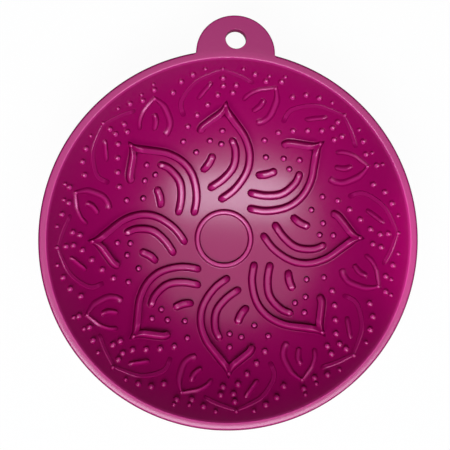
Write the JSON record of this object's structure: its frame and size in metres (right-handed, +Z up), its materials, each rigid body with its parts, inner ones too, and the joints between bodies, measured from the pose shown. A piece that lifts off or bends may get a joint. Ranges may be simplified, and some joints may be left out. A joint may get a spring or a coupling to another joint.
{
  "type": "slow feeder bowl",
  "caption": "Round-bottomed rubber slow feeder bowl that rocks on its base, with a broad rim, a half-round hang tab and a raised rosette of ribs inside that spreads the food out.",
  "frame": {"origin": "centre of the flat foot, on the surface that the bowl stands on", "axes": "+Z up along the bowl's axis, +Y from the axis to the hang tab, +X to the right of the tab seen from above with the tab at the top"},
  "size_m": [0.21, 0.2298, 0.0554],
  "materials": {
    "magenta_rubber": "satin moulded rubber"
  },
  "bodies": {
    "root": {"bowl_shell": "magenta_rubber", "hang_tab": "magenta_rubber", "centre_ring": "magenta_rubber", "petal_rib_1": "magenta_rubber", "petal_rib_2": "magenta_rubber", "petal_rib_3": "magenta_rubber", "petal_rib_4": "magenta_rubber", "petal_rib_5": "magenta_rubber", "petal_rib_6": "magenta_rubber", "petal_rib_7": "magenta_rubber", "petal_rib_8": "magenta_rubber", "petal_arc_1": "magenta_rubber", "petal_arc_2": "magenta_rubber", "petal_arc_3": "magenta_rubber", "petal_arc_4": "magenta_rubber", "petal_arc_5": "magenta_rubber", "petal_arc_6": "magenta_rubber", "petal_arc_7": "magenta_rubber", "petal_arc_8": "magenta_rubber", "petal_dash_1": "magenta_rubber", "petal_dash_2": "magenta_rubber", "petal_dash_3": "magenta_rubber", "petal_dash_4": "magenta_rubber", "petal_dash_5": "magenta_rubber", "petal_dash_6": "magenta_rubber", "petal_dash_7": "magenta_rubber", "petal_dash_8": "magenta_rubber", "leaf_rib_1": "magenta_rubber", "leaf_rib_2": "magenta_rubber", "leaf_rib_3": "magenta_rubber", "leaf_rib_4": "magenta_rubber", "leaf_rib_5": "magenta_rubber", "leaf_rib_6": "magenta_rubber", "leaf_rib_7": "magenta_rubber", "leaf_rib_8": "magenta_rubber", "leaf_vein_1": "magenta_rubber", "leaf_vein_2": "magenta_rubber", "leaf_vein_3": "magenta_rubber", "leaf_vein_4": "magenta_rubber", "leaf_vein_5": "magenta_rubber", "leaf_vein_6": "magenta_rubber", "leaf_vein_7": "magenta_rubber", "leaf_vein_8": "magenta_rubber", "bud_rib_1": "magenta_rubber", "bud_rib_2": "magenta_rubber", "bud_rib_3": "magenta_rubber", "bud_rib_4": "magenta_rubber", "bud_rib_5": "magenta_rubber", "bud_rib_6": "magenta_rubber", "bud_rib_7": "magenta_rubber", "bud_rib_8": "magenta_rubber", "bud_vein_1": "magenta_rubber", "bud_vein_2": "magenta_rubber", "bud_vein_3": "magenta_rubber", "bud_vein_4": "magenta_rubber", "bud_vein_5": "magenta_rubber", "bud_vein_6": "magenta_rubber", "bud_vein_7": "magenta_rubber", "bud_vein_8": "magenta_rubber"}
  },
  "joints": []
}
